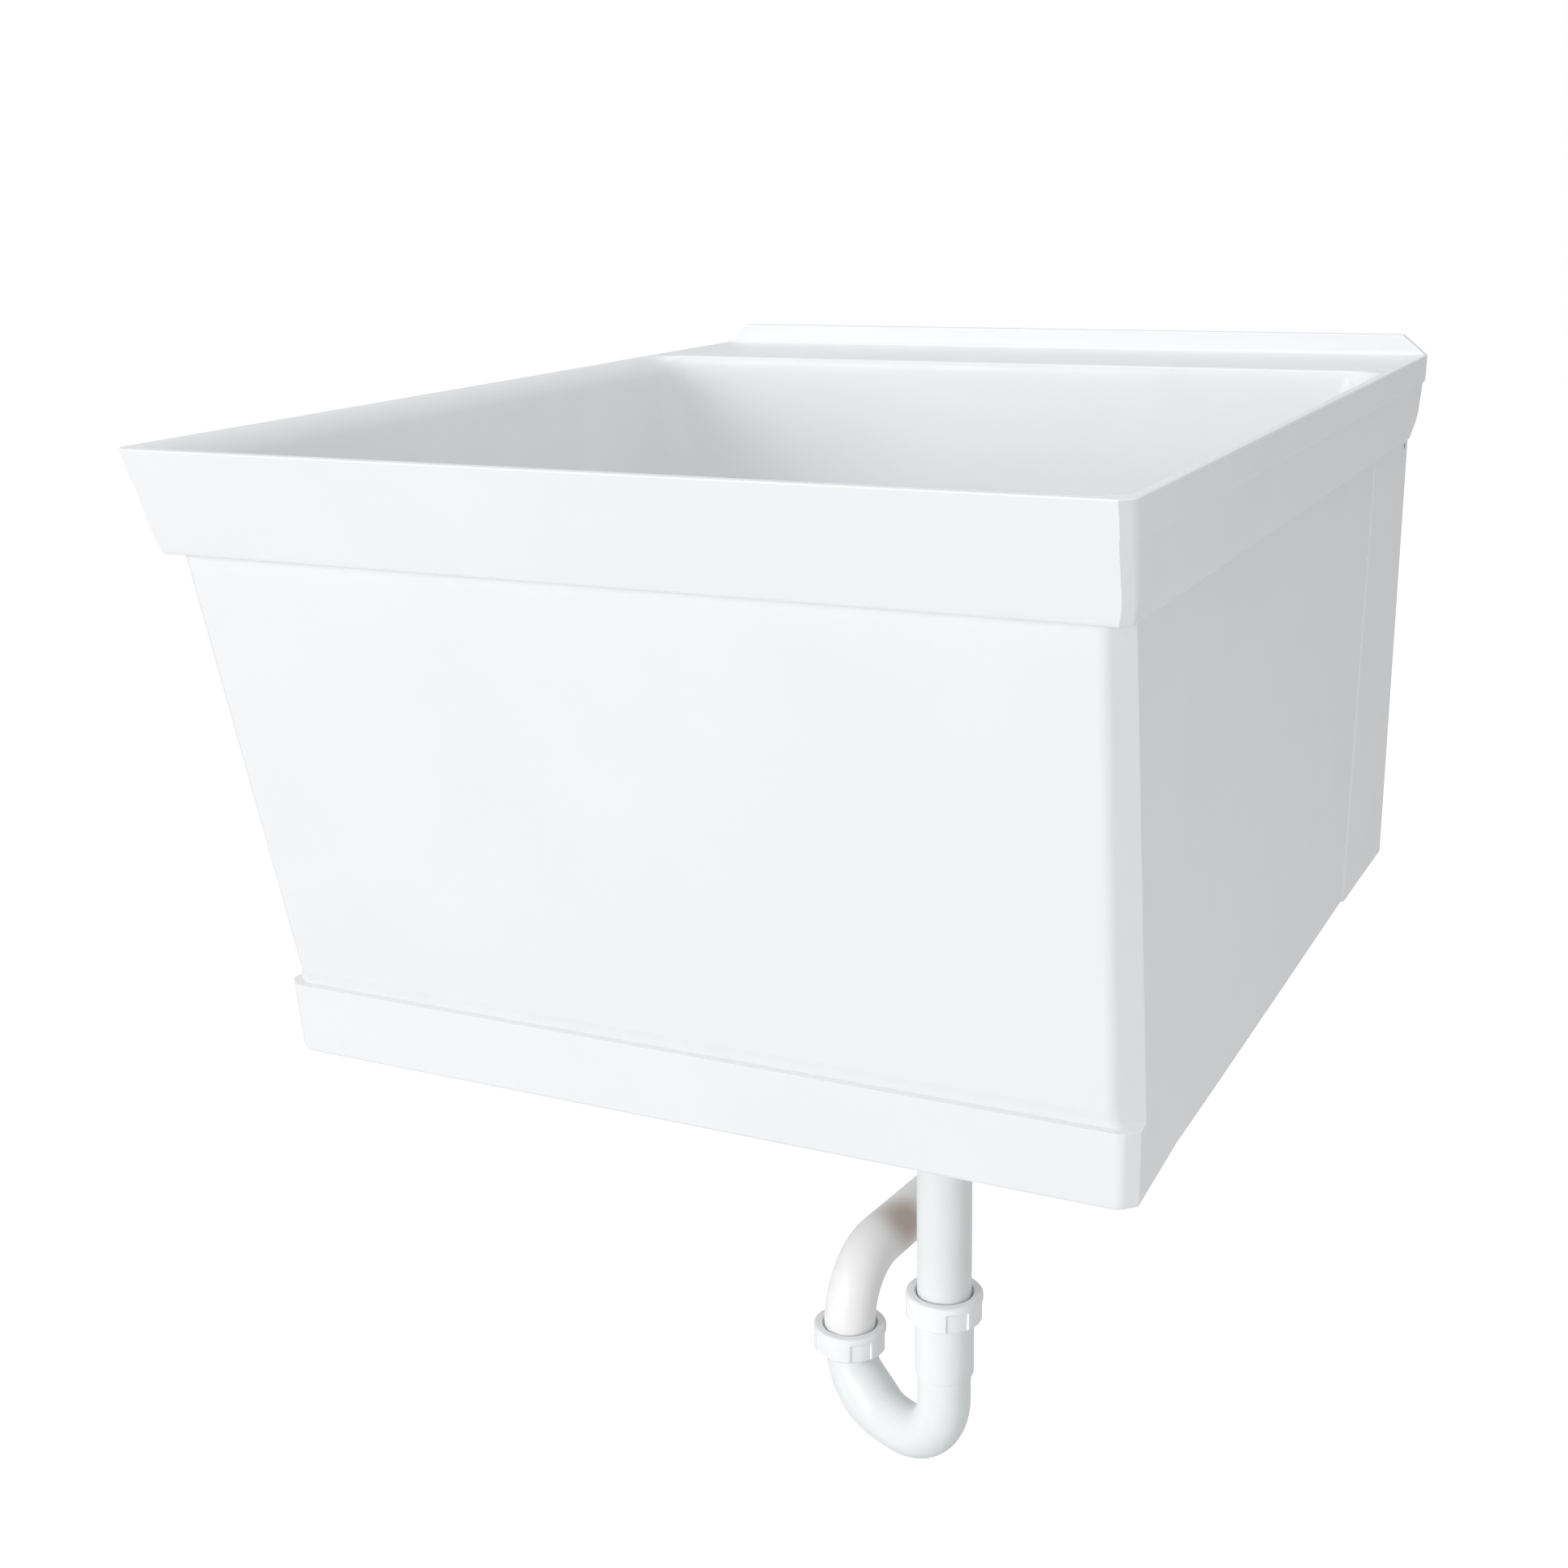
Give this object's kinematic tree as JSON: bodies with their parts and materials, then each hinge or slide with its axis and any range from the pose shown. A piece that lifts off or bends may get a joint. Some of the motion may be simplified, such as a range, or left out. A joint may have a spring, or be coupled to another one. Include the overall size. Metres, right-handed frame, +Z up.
{
  "type": "laundry sink",
  "caption": "Wall-hung utility laundry sink: deep white moulded plastic tub with a plain tap ledge, hung on a steel wall bracket, with drain, stopper, long tailpiece and P-trap.",
  "frame": {"origin": "middle of the wall hanger's back face, where it lies on the wall", "axes": "+Z up, +Y into the wall, -Y out of the wall to the front of the sink, +X to the right seen from the front"},
  "size_m": [0.508, 0.6818, 0.7887],
  "materials": {
    "tub_plastic": "satin moulded",
    "pipe_plastic": "satin moulded",
    "drain_plastic": "satin moulded",
    "slip_washer_plastic": "waxy",
    "black_rubber": "matt",
    "galvanised_steel": "zinc plated"
  },
  "bodies": {
    "tub": {"tub": "tub_plastic", "wall_hanger": "galvanised_steel", "lag_screw_1": "galvanised_steel", "lag_screw_2": "galvanised_steel", "lag_screw_3": "galvanised_steel", "lag_screw_4": "galvanised_steel", "screw_washer_1": "galvanised_steel", "screw_washer_2": "galvanised_steel", "screw_washer_3": "galvanised_steel", "screw_washer_4": "galvanised_steel", "drain_body": "drain_plastic", "drain_gasket": "black_rubber", "drain_rubber_washer": "black_rubber", "drain_friction_ring": "slip_washer_plastic", "tailpiece_washer": "slip_washer_plastic", "tailpiece": "pipe_plastic"},
    "drain_stopper": {"drain_stopper": "black_rubber"},
    "drain_locknut": {"drain_locknut": "drain_plastic"},
    "tailpiece_nut": {"tailpiece_nut": "pipe_plastic"},
    "j_bend": {"j_bend": "pipe_plastic", "inlet_washer": "slip_washer_plastic", "outlet_washer": "slip_washer_plastic"},
    "inlet_nut": {"inlet_nut": "pipe_plastic"},
    "outlet_nut": {"outlet_nut": "pipe_plastic"},
    "trap_arm": {"trap_arm": "pipe_plastic"}
  },
  "joints": [
    {"name": "stopper_lift", "type": "slide", "parent": "tub", "child": "drain_stopper", "axis": [0, 0, 1], "range_m": [0, 0.12]},
    {"name": "drain_locknut_turn", "type": "hinge", "parent": "tub", "child": "drain_locknut", "pos_m": [0, -0.2017, -0.21865], "axis": [0, 0, -1], "range_deg": [0, 900]},
    {"name": "tailpiece_nut_turn", "type": "hinge", "parent": "tub", "child": "tailpiece_nut", "pos_m": [0, -0.2017, -0.24565], "axis": [0, 0, -1], "range_deg": [0, 900]},
    {"name": "j_bend_swivel", "type": "hinge", "parent": "tub", "child": "j_bend", "pos_m": [0, -0.2017, -0.56065], "axis": [0, 0, 1], "range_deg": [-65, 65]},
    {"name": "inlet_nut_turn", "type": "hinge", "parent": "j_bend", "child": "inlet_nut", "pos_m": [0, -0.2017, -0.53765], "axis": [0, 0, 1], "range_deg": [0, 900]},
    {"name": "outlet_nut_turn", "type": "hinge", "parent": "j_bend", "child": "outlet_nut", "pos_m": [-0.09281, -0.15703, -0.60865], "axis": [0, 0, 1], "range_deg": [0, 900]},
    {"name": "trap_arm_swivel", "type": "hinge", "parent": "j_bend", "child": "trap_arm", "pos_m": [-0.09281, -0.15703, -0.60565], "axis": [0, 0, 1], "range_deg": [-70, 90]}
  ]
}
